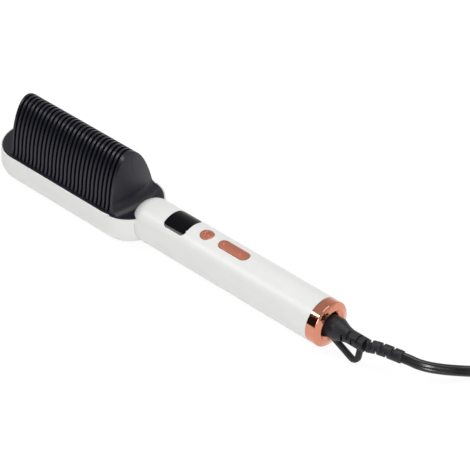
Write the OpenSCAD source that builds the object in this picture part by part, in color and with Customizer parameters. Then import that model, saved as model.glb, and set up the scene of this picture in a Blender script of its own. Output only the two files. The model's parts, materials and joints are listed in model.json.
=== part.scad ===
// Heated straightening comb with a swivelling cord.
// X runs along the handle: the comb head lies at -X and the cord leaves at +X.
// Y crosses the handle. Z points up, with the comb teeth and the buttons on top.
// The comb lies on its back, so the head shell and the handle rest on z = 0,
// and the origin is under the middle of everything but the free cord.

/* [Head] */
// Length of the white head shell
head_len = 142; // [138:0.5:150]
// Width of the head shell at its fullest
head_w = 48; // [46.5:0.5:52]
// Height of the shell's rim
rim_z = 23.1; // [22:0.1:24]
// Radius of the shell's lower edge
shell_corner = 11.7; // [9:0.1:13]
// How much the shell draws in towards its rim, each side
rim_draft = 1.1; // [0.8:0.1:1.5]
// Width of the bare rim round the black deck
rim_w = 0.9; // [0.6:0.1:1.5]
// Wall of the shell
shell_wall = 2.2; // [1.8:0.1:2.6]
// Depth of the step that the deck drops into
deck_depth = 2.2; // [2:0.1:3]
// Height that the deck stands over the rim
deck_crown = 0.6; // [0.3:0.1:1]

/* [Comb] */
// Distance from rib to rib
rib_pitch = 3.68; // [3.4:0.02:3.7]
// Thickness of a rib
rib_t = 1.8; // [1.5:0.1:2.1]
// From the tip of the head to the first rib
rib_start = 22.3; // [20:0.1:24]
// Least room behind the ribs for the end plate and the nose
plate_room = 23.5; // [22.5:0.1:25]
// Width across the ribs at their feet
comb_w = 37.6; // [34:0.2:39]
// Height of the ribs over the deck
comb_h = 38.9; // [34:0.1:42]
// Depth of a rib from its outer edge to the metal fin in it
rib_depth = 3.4; // [2.6:0.1:4]
// How far a rib spreads at its foot
foot_flare = 1.3; // [0.6:0.1:1.6]
// Height of that spread
foot_h = 5; // [3:0.5:8]
// Thickness of the solid end plate at its top
plate_t = 3; // [2.4:0.1:4]
// How far the plate's face leans forward
plate_lean = 2.2; // [1:0.1:3]
// Radius of the plate's face, seen from above
plate_round = 52; // [45:1:80]
// Fillet between the plate and the deck
plate_fillet = 7.5; // [5:0.5:9]

/* [Heater] */
// Thickness of a metal fin
fin_t = 1.4; // [1:0.1:1.5]
// Gap between a fin and the rib round it
fin_gap = 0.4; // [0.3:0.1:0.6]
// Width of the metal spine that carries the fins
spine_w = 15; // [14:0.5:17]
// Thickness of the spine's flange
flange_t = 3.5; // [3:0.1:4.5]
// How far the flange reaches under the deck, each side
flange_lap = 2.3; // [1.5:0.1:3]
// Width of the slot for the heating strips
heater_slot_w = 10; // [9:0.5:11]
// Height of a heating strip
heater_h = 24; // [18:1:26]
// Thickness of a heating strip
heater_t = 3; // [2:0.1:3.2]
// Depth of the tray under the metal comb
tray_depth = 8.4; // [8:0.1:9]
// Wall of the tray
tray_wall = 2; // [1.5:0.1:2.4]
// Radius of the posts that the tray is screwed to
post_r = 3; // [2.7:0.1:3.3]
// From the middle line to a post
post_y = 11; // [10.5:0.1:12]
// Length of a tray screw
tray_screw_len = 6; // [5.4:0.1:6.4]
// From the first rib to the safety cut-out
cutout_from_rib = 30; // [20:1:36]
// Length of the safety cut-out
cutout_len = 12; // [8:0.5:14]
// From the first rib to the temperature sensor
sensor_from_rib = 55; // [45:1:65]
// Length of the temperature sensor
sensor_len = 6; // [4:0.5:8]

/* [Handle] */
// Outside diameter of the handle
handle_d = 31; // [30:0.5:34]
// Wall of the handle sleeve
handle_wall = 2; // [1.6:0.1:2.4]
// Length of the straight handle, from the rounded nose to the end ring
handle_len = 148; // [144:1:170]
// Length of the rounded nose
nose_len = 13.3; // [11:0.1:15]
// How far the nose reaches back over the head
nose_over = 16; // [15:0.1:18]
// Wall of the inner frame
frame_wall = 1.8; // [1.4:0.1:2.2]
// Height of the circuit board over the handle's middle line
board_rise = 6.5; // [6:0.1:7]
// Thickness of the circuit board
board_t = 1.6; // [1:0.2:1.6]
// From the front end of the circuit board to the supply block
supply_from_board = 44; // [38:1:50]
// Length of the supply block
supply_len = 28; // [20:1:30]
// Length of the capacitor
capacitor_len = 13; // [9:1:16]
// Length of the heater's switching chip
triac_len = 8; // [6:0.5:9]
// Distance between the heater's two leads
lead_pitch = 6; // [5:0.2:6.4]

/* [Display and buttons] */
// Length of the display window
display_len = 18.8; // [16:0.2:22]
// Width of the display window, measured straight across
display_w = 19.2; // [15:0.2:21]
// Corner radius of the display window
display_corner = 3; // [1:0.5:5]
// From the nose's root to the middle of the display
display_from_nose = 27.4; // [24:0.1:29]
// Diameter of the round power button
power_d = 8.2; // [7:0.1:9]
// From the nose's root to the middle of the power button
power_from_nose = 49.8; // [47:0.1:51]
// How far the power button goes in
power_travel = 0.5; // [0.3:0.1:0.6]
// Length of the plus and minus button
rocker_len = 24.9; // [22:0.1:26]
// Width of the plus and minus button
rocker_w = 8; // [7:0.1:9]
// From the nose's root to the middle of the plus and minus button
rocker_from_nose = 73.6; // [72:0.1:78]
// How far the button faces stand out of the handle
button_proud = 0.4; // [0.2:0.1:0.6]
// Gap round the buttons
button_gap = 0.15; // [0.1:0.05:0.25]
// Radius of the pin that the plus and minus button rocks on
trunnion_r = 0.8; // [0.6:0.1:1]

/* [End ring] */
// Length of the polished band
ring_band = 7.5; // [5:0.1:10]
// Depth of the cone from the band to the hole
ring_cone = 1.6; // [1:0.1:3]
// Radius of the hole in the ring
ring_hole_r = 10.45; // [10:0.05:11]
// Length of the ring's neck in the handle
ring_neck = 8; // [6:0.5:10]

/* [Swivel] */
// Radius of the turning shaft
shaft_r = 5; // [4.5:0.1:5.5]
// Radial clearance of the shaft in its seat
shaft_fit = 0.06; // [0.04:0.01:0.1]
// Radius of the shaft's inner flange
shaft_flange_r = 7.5; // [7:0.1:8]
// Length of the swivel seat beyond the ring's neck
seat_len = 12.8; // [11:0.1:15]
// Gap between turning faces
turn_gap = 0.3; // [0.2:0.05:0.4]

/* [Boot] */
// Radius of the boot's bell
bell_r = 7.6; // [7.2:0.1:8.5]
// Length of the bell
bell_len = 9.4; // [8:0.2:12]
// Length over which the bell necks down
taper_len = 10.6; // [8:0.2:12]
// Radius of the boot's neck
neck_r = 4.75; // [4.4:0.05:5.2]
// Length of the neck
neck_len = 11.3; // [11:0.1:14]
// Depth of the flexing slots
slot_depth = 1.3; // [0.8:0.1:1.6]
// Width of a flexing slot
slot_w = 1.5; // [1:0.1:1.8]
// Distance from one row of flexing slots to the next
slot_pitch = 3.7; // [3.4:0.1:4]
// Thickness of the hanging loop
loop_t = 2.7; // [2.2:0.1:3.4]
// Width of the loop's bars
loop_bar = 2.6; // [2.2:0.1:3.4]
// Reach of the loop from the cord's middle line
loop_reach = 14.6; // [14:0.1:15.2]
// Angle of the hanging loop from straight down
loop_turn = 20; // [10:1:35]

/* [Cord] */
// Diameter of the cord
cord_d = 5.8; // [5:0.1:6.2]
// Radius of the ribbed strain relief
relief_r = 4.2; // [4:0.05:4.7]
// Turns of the put-away coil in each of its four layers
coil_turns = 2; // [2:1:3]
// Inner radius of the coil's middle line
coil_inner_r = 25.5; // [22:0.5:30]
// Gap between turns of the coil
coil_gap = 0.55; // [0.45:0.05:0.8]
// Thickness of the strap round the coil
tie_t = 1.2; // [0.8:0.1:1.5]
// Width of the strap
tie_w = 7; // [5:0.5:9]

/* [Plug] */
// Length of the plug's body
plug_len = 30; // [26:1:36]
// Width of the plug's face
plug_w = 34; // [30:1:36]
// Height of the plug's body
plug_h = 13.7; // [12:0.1:15]
// Radius of a plug pin
pin_r = 2; // [1.9:0.05:2.1]
// Length of a plug pin
pin_len = 19; // [18:0.5:19]
// Distance between the pins
pin_pitch = 19; // [18:0.2:19.2]

/* [Hidden] */
$fn = 64;

// Shared small gaps
eps = 0.01;
seat_gap = 0.05;
fit_gap = 0.1;

// Points of the strain relief and of the lead-out cord, past the boot's neck:
// X and Y in millimetres, then the height: 1 at the handle's middle line, 0 at the coil
relief_route = [[0, 0, 1], [4, 1.9, 1], [8, 3.5, 0.99], [12, 4.7, 0.97], [16, 5.8, 0.94], [20, 6.9, 0.9],
    [24, 8.1, 0.85]];
cord_route = [[28, 9.3, 0.8], [33, 11.1, 0.69], [38.2, 14.3, 0.56], [43, 18.5, 0.42], [47.8, 23.3, 0.28],
    [56, 32.3, 0.06], [65, 40.8, 0], [76, 48.2, 0], [93, 55.6, 0], [113, 60, 0]];

// Levels and radii
handle_r = handle_d / 2;
axis_z = handle_r;
bore_r = handle_r - handle_wall;
half_w = head_w / 2;
rim_r = half_w - rim_draft;
deck_r = rim_r - rim_w;
ledge_z = rim_z - deck_depth;
deck_z = rim_z + deck_crown;
flange_z = ledge_z - flange_t;
tray_z = flange_z - tray_depth;
board_z = axis_z + board_rise;
board_top = board_z + board_t;
window_half = comb_w / 2 - rib_depth;

// As many guard ribs as the head has room for
rib_count = floor((head_len - rib_start - plate_room) / rib_pitch);

// Places along X, counted from the tip of the head
relief_len = relief_route[len(relief_route) - 1][0] + 1;
boot_recess = 4;
stem_end_r = 2.6;
stem_len = 6;
boot_len = bell_len + taper_len + neck_len;
body_len = head_len - nose_over + nose_len + handle_len + ring_band + ring_cone;
total_len = body_len - boot_recess + boot_len + relief_len;
tip_x = -total_len / 2;
end_x0 = tip_x + half_w;
end_x1 = tip_x + head_len - half_w;
rib_x0 = tip_x + rib_start;
comb_x1 = rib_x0 + rib_count * rib_pitch;
slot_x0 = rib_x0 + rib_t;
fin_x0 = rib_x0 + rib_pitch + (rib_t - fin_t) / 2;
fin_x1 = fin_x0 + (rib_count - 2) * rib_pitch + fin_t;
nose_x = tip_x + head_len - nose_over;
handle_x0 = nose_x + nose_len;
handle_x1 = handle_x0 + handle_len;
band_x1 = handle_x1 + ring_band;
face_x = band_x1 + ring_cone;
boot_x0 = face_x - boot_recess;
bell_x1 = boot_x0 + bell_len;
taper_x1 = bell_x1 + taper_len;
neck_x1 = taper_x1 + neck_len;
seat_x0 = handle_x1 - ring_neck - 2;
seat_x1 = boot_x0 - turn_gap;
display_x = handle_x0 + display_from_nose;
power_x = handle_x0 + power_from_nose;
rocker_x = handle_x0 + rocker_from_nose;
board_x0 = handle_x0 + 6;
board_x1 = seat_x0 - 16;

// Cord and coil
cord_r = cord_d / 2;
coil_step = cord_d + coil_gap;
coil_outer_r = coil_inner_r + coil_turns * coil_step;
coil_z = cord_r + tie_t + 0.5;
coil_top = coil_z + 3 * coil_step;
plug_z = coil_top + cord_r + fit_gap + plug_h / 2;

// ---------------------------------------------------------------- helpers

function arc(cx, cy, rx, ry, a0, a1, n) =
    [for (i = [0:n]) let (a = a0 + (a1 - a0) * i / n) [cx + rx * cos(a), cy + ry * sin(a)]];

// Smooth step from 0 to 1
function ease(t) = t <= 0 ? 0 : t >= 1 ? 1 : t * t * (3 - 2 * t);

function unit(v) = v / norm(v);

// Point on a smooth curve through the points p, s counted in points
function curve_at(p, s) =
    let (last = len(p) - 1, i = min(floor(s), last - 1), t = s - i)
    let (b = p[i], c = p[i + 1])
    let (a = i > 0 ? p[i - 1] : 2 * b - c, d = i < last - 1 ? p[i + 2] : 2 * c - b)
    0.5 * (2 * b + (c - a) * t + (2 * a - 5 * b + 4 * c - d) * t * t + (3 * b - a - 3 * c + d) * t * t * t);

function smooth_path(p, n) = [for (i = [0:n]) curve_at(p, i * (len(p) - 1) / n)];

function direction(p, i) = unit(p[min(i + 1, len(p) - 1)] - p[max(i - 1, 0)]);

// Length of a path
function path_len(p, i = 0) = i >= len(p) - 1 ? 0 : norm(p[i + 1] - p[i]) + path_len(p, i + 1);

// Radius of a ring at the angle a. The ring has one radius, or the radius in a slot,
// the radius beside it, and the angle of the slot's middle from the top towards +Y
function radius_at(r, a) = is_num(r) ? r : cos(a - 90 - r[2]) > cos(relief_slot_half) ? r[0] : r[1];

// Round tube along the path, with a radius or a slotted ring for each of its points.
// The first rings, as many as square says, stay square to X
module tube(path, radii, sides, square = 0) {
    n = len(path);
    points = [for (i = [0:n - 1])
        let (t = i < square ? [1, 0, 0] : direction(path, i), s = unit(cross(t, [0, 0, 1])), u = cross(s, t))
        for (k = [0:sides - 1]) let (a = 360 * (k + 0.5) / sides)
            path[i] + radius_at(radii[i], a) * (cos(a) * s + sin(a) * u)];
    walls = [for (i = [0:n - 2], k = [0:sides - 1])
        let (a = i * sides + k, b = i * sides + (k + 1) % sides)
        for (f = [[a, a + sides, b + sides], [a, b + sides, b]]) f];
    caps = [for (k = [1:sides - 2]) for (f = [[0, k, k + 1], [n * sides - sides, n * sides - sides + k + 1,
        n * sides - sides + k]]) f];
    polyhedron(points, concat(walls, caps), convexity = 10);
}

// Bar along X with the given section: the section's first value runs along Y, its second along Z
module along_x(x0, x1) {
    translate([x0, 0, 0]) rotate([90, 0, 90]) linear_extrude(x1 - x0) children();
}

// Bar along Y with the given section: the section's first value runs along X, its second along Z
module along_y(width) {
    translate([0, width / 2, 0]) rotate([90, 0, 0]) linear_extrude(width) children();
}

// Solid turned about the handle's middle line: radius out, length along X
module about_axis() {
    translate([0, 0, axis_z]) rotate([0, 90, 0]) rotate_extrude() children();
}

// Plain bar or disc about the handle's middle line
module round_bar(r, x0, x1) {
    translate([x0, 0, axis_z]) rotate([0, 90, 0]) cylinder(r = r, h = x1 - x0);
}

module tube_bar(r_out, r_in, x0, x1) {
    difference() {
        round_bar(r_out, x0, x1);
        round_bar(r_in, x0 - 1, x1 + 1);
    }
}

// Box between two corners
module box(a, b) {
    translate(a) cube(b - a);
}

// Box that is centred across the handle
module mid_box(x0, x1, width, z0, z1) {
    box([x0, -width / 2, z0], [x1, width / 2, z1]);
}

// Racetrack-shaped solid over the head, from a half section: radius out, height up
module head_round() {
    translate([end_x0, 0, 0]) rotate([0, 0, 90]) rotate_extrude(angle = 180) children();
    translate([end_x1, 0, 0]) rotate([0, 0, -90]) rotate_extrude(angle = 180) children();
    for (side = [0, 1]) mirror([0, side, 0]) along_x(end_x0, end_x1) children();
}

// Upright racetrack, centred at x
module slot_prism(x, length, width, z0, z1) {
    reach = (length - width) / 2;
    for (side = [-1, 1]) translate([x + side * reach, 0, z0]) cylinder(d = width, h = z1 - z0);
    mid_box(x - reach, x + reach, width, z0, z1);
}

// Rectangle with round corners
module round_rect(length, width, r) {
    polygon(concat(
        arc(length / 2 - r, width / 2 - r, r, r, 0, 90, 6),
        arc(r - length / 2, width / 2 - r, r, r, 90, 180, 6),
        arc(r - length / 2, r - width / 2, r, r, 180, 270, 6),
        arc(length / 2 - r, r - width / 2, r, r, 270, 360, 6)));
}

// ---------------------------------------------------------------- head

// Handle with its rounded nose, grown by gap
module handle_body(gap) {
    r = handle_r + gap;
    about_axis() polygon(concat(
        arc(0, handle_x0, r, nose_len + gap, -90, 0, 14),
        [[r, face_x], [0, face_x]]));
}

module shell_section() {
    round_x = half_w - shell_corner;
    inner = shell_corner - shell_wall;
    polygon(concat(
        [[0, 0]], arc(round_x, shell_corner, shell_corner, shell_corner, -90, 0, 12),
        [[rim_r, rim_z], [deck_r + fit_gap, rim_z], [deck_r + fit_gap, ledge_z]],
        [[deck_r - 1.5, ledge_z], [deck_r - 1.5, ledge_z - 2]],
        arc(round_x, shell_corner, inner, inner, 0, -90, 10), [[0, shell_wall]]));
}

// Boss that the frame's tongue is screwed to
neck_screw_x = nose_x - 3.6;
tongue_z = 9;
tongue_t = 2.4;

module head_shell() {
    color("#e9e9e7") difference() {
        union() {
            head_round() shell_section();
            translate([neck_screw_x, 0, shell_wall - eps])
                cylinder(r = post_r, h = tongue_z - shell_wall + eps);
        }
        handle_body(fit_gap);
        translate([neck_screw_x, 0, shell_wall + 1]) cylinder(r = 0.95, h = tongue_z);
    }
}

// Half section of the deck plate, with its edge drawn in over the rim
module deck_section() {
    polygon([[0, ledge_z], [deck_r, ledge_z], [deck_r, rim_z], [deck_r - deck_crown, deck_z], [0, deck_z]]);
}

// Half width of the comb at height z over the deck
arch_slope = 1.53;
arch_round = 1.97;
function arch_y(z, half, top) = half * pow(max(0, 1 - pow(z / top, arch_slope)), 1 / arch_round);
function foot_y(z) = foot_flare * pow(max(0, 1 - z / foot_h), 2);

// One side of an arch, from its foot to its crown
function arch_side(half, top, flare) =
    [for (a = [0:7.5:90]) let (z = top * sin(a)) [arch_y(z, half, top) + flare * foot_y(z), z]];

function reversed(p) = [for (i = [len(p) - 1:-1:0]) p[i]];
function mirrored(p) = [for (q = p) [-q[0], q[1]]];
function whole_arch(side) = concat(side, [for (i = [len(side) - 2:-1:0]) [-side[i][0], side[i][1]]]);

module arch_shape() {
    translate([0, deck_z]) polygon(concat(whole_arch(arch_side(comb_w / 2, comb_h, 1)),
        [[-comb_w / 2, -root_t], [comb_w / 2, -root_t]]));
}

module arch_hole() {
    translate([0, deck_z]) polygon(concat(
        whole_arch(arch_side(window_half, comb_h - rib_depth, 0)),
        [[-window_half, -2], [window_half, -2]]));
}

// How deep the ribs and the plate are rooted in the deck
root_t = 0.8;

// Half section of the solid end plate, for turning about a far upright line:
// a leaning face that runs into the deck
module plate_section() {
    top = deck_z + comb_h;
    foot = plate_round + plate_lean;
    polygon(concat(
        [[plate_round / 2, deck_z - root_t], [plate_round / 2, top], [plate_round - 0.8, top],
        [plate_round + 0.3, top - 2]],
        arc(foot + plate_fillet, deck_z + plate_fillet - fit_gap, plate_fillet, plate_fillet, 180, 270, 8),
        [[foot + plate_fillet, deck_z - root_t]]));
}

// Half section of all that lies inside the deck's edge
module inside_edge() {
    r = deck_r - deck_crown - 0.2;
    polygon([[0, deck_z - root_t], [r, deck_z - root_t], [r, deck_z + comb_h], [0, deck_z + comb_h]]);
}

module end_plate() {
    intersection() {
        along_x(comb_x1, comb_x1 + 2 * plate_fillet) arch_shape();
        translate([comb_x1 + plate_t - plate_round, 0, 0]) rotate([0, 0, -45])
            rotate_extrude(angle = 90) plate_section();
        head_round() inside_edge();
    }
}

// Posts under the deck that the tray is screwed to, in front of the ribs and behind them
post_before = 5.5;
post_behind = 3.2;
function post_places() = [
    for (x = [rib_x0 - post_before, comb_x1 + post_behind], side = [-1, 1]) [x, side * post_y]];

module comb_deck() {
    color("#2b2c30") difference() {
        union() {
            head_round() deck_section();
            for (i = [0:rib_count - 1])
                along_x(rib_x0 + i * rib_pitch, rib_x0 + i * rib_pitch + rib_t) arch_shape();
            end_plate();
            for (p = post_places()) translate([p[0], p[1], flange_z]) cylinder(r = post_r, h = flange_t + 1);
        }
        along_x(slot_x0, comb_x1) arch_hole();
        mid_box(slot_x0, comb_x1, 2 * window_half, ledge_z - 1, deck_z + eps);
        handle_body(fit_gap);
        for (p = post_places()) translate([p[0], p[1], flange_z - 1])
            cylinder(r = screw_r + seat_gap, h = screw_bite + 2);
    }
}

// ---------------------------------------------------------------- heater

// Metal comb: a flanged spine with one fin inside each guard rib
spine_top = 24;

module fin_shape() {
    translate([0, deck_z]) polygon(concat(
        whole_arch(arch_side(window_half - fin_gap, comb_h - rib_depth - fin_gap, 0)),
        [[fin_gap - window_half, -2], [window_half - fin_gap, -2]]));
}

module spine_shape() {
    half = spine_w / 2;
    polygon(concat([[-half, flange_z], [half, flange_z]],
        arc(0, deck_z + spine_top - half, half, half, 0, 180, 12)));
}

module heat_comb() {
    color("#4a4b50") difference() {
        union() {
            along_x(fin_x0, fin_x1) spine_shape();
            for (i = [0:rib_count - 2])
                along_x(fin_x0 + i * rib_pitch, fin_x0 + i * rib_pitch + fin_t) fin_shape();
            mid_box(fin_x0, fin_x1, 2 * (window_half + flange_lap), flange_z, ledge_z);
        }
        mid_box(fin_x0 + 1.5, fin_x1 - 1.5, heater_slot_w, flange_z - 1, heater_z + heater_h);
    }
}

heater_z = flange_z + 0.6;
heater_x0 = fin_x0 + 3;
heater_x1 = fin_x1 - 3;

// Heating strip pressed to one wall of the slot
module ptc_strip(side) {
    inner = heater_slot_w / 2 - heater_t;
    color("#d9a441") mirror([0, side > 0 ? 0 : 1, 0])
        box([heater_x0, inner, heater_z],
            [heater_x1, heater_slot_w / 2 - seat_gap, heater_z + heater_h - 0.5]);
}

module ptc_near() {
    ptc_strip(-1);
}

module ptc_far() {
    ptc_strip(1);
}

// Spring wedge that holds the two strips to the metal
module ptc_wedge() {
    half = heater_slot_w / 2 - heater_t - seat_gap;
    color("#b9bcc0") difference() {
        mid_box(heater_x0 + 2, heater_x1 - 2, 2 * half, heater_z, heater_z + heater_h - 4);
        mid_box(heater_x0, heater_x1, 2 * half - 2, heater_z + 3, heater_z + heater_h);
    }
}

// Safety cut-out and sensor under the flange, beside the slot
module thermal_cutout() {
    r = 2.2;
    color("#c8ccd2") translate([rib_x0 + cutout_from_rib, window_half - r - 1.2, flange_z - r - seat_gap])
        rotate([0, 90, 0]) cylinder(r = r, h = cutout_len);
}

module temperature_sensor() {
    r = 1.6;
    color("#3b7a57") translate([rib_x0 + sensor_from_rib, r + 1.8 - window_half, flange_z - r - seat_gap])
        rotate([0, 90, 0]) cylinder(r = r, h = sensor_len);
}

tray_half = window_half + flange_lap;
lug_t = 2;
lug_z = flange_z - lug_t;
screw_r = 1;
screw_head_r = 2.2;
screw_head_t = 1.6;
screw_bite = tray_screw_len - screw_head_t - lug_t;
cable_gate = 9;

// Heat-proof tray that closes the underside of the metal comb
module heat_tray() {
    color("#1f1f22") difference() {
        union() {
            mid_box(fin_x0, fin_x1, 2 * tray_half, tray_z, flange_z);
            for (p = post_places()) {
                translate([p[0], p[1], lug_z]) cylinder(r = post_r, h = lug_t);
                box([min(p[0], fin_x1 - 1), p[1] - post_r, lug_z],
                    [max(p[0], fin_x0 + 1), p[1] + post_r, flange_z]);
            }
        }
        mid_box(fin_x0 + tray_wall, fin_x1 - tray_wall, 2 * (tray_half - tray_wall),
            tray_z + tray_wall, flange_z + 1);
        mid_box(fin_x1 - tray_wall - 1, fin_x1 + 1, cable_gate, tray_z + tray_wall, flange_z + 1);
        for (p = post_places()) translate([p[0], p[1], lug_z - 1]) cylinder(r = screw_r + 0.2, h = lug_t + 2);
    }
}

module tray_screws() {
    color("#8d9096") for (p = post_places()) translate([p[0], p[1], lug_z - screw_head_t]) {
        cylinder(r = screw_head_r, h = screw_head_t);
        cylinder(r = screw_r, h = tray_screw_len);
    }
}

// ---------------------------------------------------------------- handle

passage_w = 12;
passage_z0 = tongue_z - 0.5;
passage_z1 = 16;
button_floor = 20;

module sleeve_openings() {
    translate([display_x, 0, axis_z]) linear_extrude(handle_r + 1)
        round_rect(display_len, display_w, display_corner);
    translate([power_x, 0, button_floor]) cylinder(r = power_d / 2 + button_gap, h = handle_r);
    slot_prism(rocker_x, rocker_len + 4 * button_gap, rocker_w + 2 * button_gap, button_floor, handle_d + 1);
}

// White sleeve with a rounded nose over the head
module handle_sleeve() {
    color("#ebebe9") difference() {
        about_axis() polygon(concat(
            arc(0, handle_x0, handle_r, nose_len, -90, 0, 14),
            [[handle_r, handle_x1], [bore_r, handle_x1], [bore_r, handle_x0]],
            arc(0, handle_x0, bore_r, nose_len - handle_wall, 0, -90, 10)));
        sleeve_openings();
        mid_box(nose_x - 1, handle_x0, passage_w, passage_z0, passage_z1);
    }
}

frame_r = bore_r - 0.15;
frame_x0 = handle_x0 + 1;

// Black inner frame: a trough for the board, with a tongue into the head
module core_frame() {
    color("#242427") difference() {
        union() {
            difference() {
                round_bar(frame_r, frame_x0, seat_x0);
                round_bar(frame_r - frame_wall, frame_x0 + 2, seat_x0 + 1);
            }
            mid_box(neck_screw_x - post_r, frame_x0 + 1, passage_w - 1, tongue_z, tongue_z + tongue_t);
        }
        mid_box(frame_x0 - 1, seat_x0 + 1, handle_d, board_z, handle_d);
        mid_box(frame_x0 - 1, frame_x0 + 3, cable_gate, tongue_z + tongue_t, passage_z1);
        translate([neck_screw_x, 0, 0]) cylinder(r = 1.2, h = axis_z);
    }
}

module neck_screw() {
    color("#8d9096") translate([neck_screw_x, 0, shell_wall + 2]) {
        cylinder(r = 0.9, h = tongue_z + tongue_t - shell_wall - 2);
        translate([0, 0, tongue_z + tongue_t - shell_wall - 2]) cylinder(r = screw_head_r, h = screw_head_t);
    }
}

board_w = 20.8;

// From the board's end to the parts on it, clear of its screw hole
board_margin = 7;

module control_board() {
    color("#1d6b45") difference() {
        mid_box(board_x0, board_x1, board_w, board_z, board_top);
        for (x = [board_x0 + 4, board_x1 - 4])
            translate([x, 0, board_z - 1]) cylinder(r = 1.5, h = board_t + 2);
    }
}

// Mains supply block under the board
module power_supply() {
    x0 = board_x0 + supply_from_board;
    color("#20242c") mid_box(x0, x0 + supply_len, 15, board_z - 9, board_z);
}

// Film capacitor under the board's end
module capacitor() {
    x1 = board_x1 - board_margin;
    color("#c9a23a") mid_box(x1 - capacitor_len, x1, 8, board_z - 8, board_z);
}

// Chip that switches the heater, on the board's end
module triac() {
    x1 = board_x1 - board_margin;
    color("#26262a") mid_box(x1 - triac_len, x1, 10, board_top, board_top + 3);
}

switch_h = 1.8;
switch_w = 6;
switch_top = board_top + switch_h;
rocker_reach = 8;

// Small press switches: one under the power button, two under the rocker
module switches() {
    color("#3c3f44") for (x = [power_x, rocker_x - rocker_reach, rocker_x + rocker_reach])
        mid_box(x - switch_w / 2, x + switch_w / 2, switch_w, board_top, switch_top);
}

lens_r = bore_r + fit_gap;

module display_module() {
    color("#c9ced6") intersection() {
        mid_box(display_x - display_len / 2 + 1, display_x + display_len / 2 - 1, 15, board_top, handle_d);
        round_bar(lens_r - 0.2, display_x - display_len, display_x + display_len);
    }
}

// Glossy window, flush with the handle
module display_window() {
    color("#101116") intersection() {
        translate([display_x, 0, axis_z]) linear_extrude(handle_r + 1)
            round_rect(display_len - 2 * seat_gap, display_w - 2 * seat_gap, display_corner);
        tube_bar(handle_r, lens_r, display_x - display_len, display_x + display_len);
    }
}

stem_r = 1.6;

// Round button: its face follows the handle, its stem stands over a switch
module power_button() {
    skirt_z = axis_z + sqrt(pow(bore_r, 2) - pow(power_d / 2 + 1, 2)) - 0.25 - 0.9;
    color("#c07a62") union() {
        intersection() {
            translate([power_x, 0, skirt_z]) cylinder(r = power_d / 2, h = handle_r);
            round_bar(handle_r + button_proud, power_x - power_d, power_x + power_d);
        }
        translate([power_x, 0, skirt_z]) cylinder(r = power_d / 2 + 0.9, h = 0.9);
        translate([power_x, 0, switch_top + power_travel + 0.2]) cylinder(r = stem_r, h = 2);
    }
}

pivot_z = board_top + 2.8;
ear_top = pivot_z + 1.5;
ear_t = 1.2;
ear_y = rocker_w / 2 - 0.6;

// Bracket with the two ears that carry the rocker
module rocker_bracket() {
    color("#2a2a2e") difference() {
        union() {
            mid_box(rocker_x - 3, rocker_x + 3, 2 * (ear_y + ear_t), board_top, board_top + 0.8);
            for (side = [0, 1]) mirror([0, side, 0])
                box([rocker_x - 2, ear_y, board_top], [rocker_x + 2, ear_y + ear_t, ear_top]);
        }
        translate([rocker_x, 0, pivot_z]) rotate([90, 0, 0])
            cylinder(r = trunnion_r + shaft_fit, h = 4 * ear_y, center = true);
    }
}

// Plus and minus button: a bar that rocks on two short pins
module rocker_button() {
    body_z = ear_top + 0.35;
    web = ear_y - 0.3;
    color("#c07a62") union() {
        intersection() {
            slot_prism(rocker_x, rocker_len, rocker_w, body_z, handle_d + 1);
            round_bar(handle_r + button_proud, rocker_x - rocker_len, rocker_x + rocker_len);
        }
        mid_box(rocker_x - 2, rocker_x + 2, 2 * web, pivot_z - 1.2, body_z + 0.5);
        translate([rocker_x, 0, pivot_z]) rotate([90, 0, 0])
            cylinder(r = trunnion_r, h = 2 * (ear_y + ear_t), center = true);
        for (side = [-1, 1]) translate([rocker_x + side * rocker_reach, 0, switch_top + 0.6])
            cylinder(r = stem_r, h = body_z - switch_top);
    }
}

// Two leads from the board through the nose to the heating strips
module lead(y) {
    z = passage_z1 - 2;
    wire_r = 0.9;
    x0 = heater_x1 - post_before;
    x1 = board_x0 + board_margin + wire_r;
    translate([x0, y, z]) cylinder(r = wire_r, h = heater_z - z - 0.2);
    translate([x0, y, z]) sphere(r = wire_r);
    translate([x0, y, z]) rotate([0, 90, 0]) cylinder(r = wire_r, h = x1 - x0);
    translate([x1, y, z]) sphere(r = wire_r);
    translate([x1, y, z]) cylinder(r = wire_r, h = board_z - z - 0.1);
}

module heater_leads() {
    color("#b23a34") for (side = [-1, 1]) lead(side * lead_pitch / 2);
}

// ---------------------------------------------------------------- ring and swivel

ring_edge = 0.5;

module end_ring() {
    neck = bore_r - seat_gap;
    color("#c57f66") about_axis() polygon([
        [ring_hole_r, handle_x1 - ring_neck], [neck, handle_x1 - ring_neck], [neck, handle_x1],
        [handle_r, handle_x1], [handle_r, band_x1 - ring_edge], [handle_r - ring_edge, band_x1],
        [ring_hole_r, face_x]]);
}

// Fixed bush that the cord's shaft turns in
module swivel_seat() {
    r = ring_hole_r - seat_gap;
    color("#2d2d30") about_axis() polygon([
        [shaft_r + shaft_fit, seat_x0], [bore_r - 0.5, seat_x0], [bore_r - 0.5, handle_x1 - ring_neck],
        [r, handle_x1 - ring_neck], [r, seat_x1], [shaft_r + shaft_fit, seat_x1]]);
}

tail_x0 = seat_x0 - 15;
flange_x1 = seat_x0 - turn_gap;

module swivel_rotor() {
    color("#35353a") difference() {
        union() {
            round_bar(shaft_r, flange_x1 - 1, bell_x1 - 0.5);
            round_bar(shaft_flange_r, flange_x1 - 2.2, flange_x1);
            round_bar(shaft_r - 1, tail_x0, flange_x1 - 1);
        }
        round_bar(shaft_r - 2.4, tail_x0 - 1, bell_x1);
    }
}

slip_w = 3;
function slip_places() = [tail_x0 + 2, tail_x0 + 7];

// Two brass rings that carry the current across the turning joint
module slip_rings() {
    color("#c9a24b") for (x = slip_places())
        tube_bar(shaft_r - 0.1, shaft_r - 1 + 0.02, x, x + slip_w);
}

contact_z = axis_z - shaft_r - 0.2;
contact_block_z = contact_z - 2.4;

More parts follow.
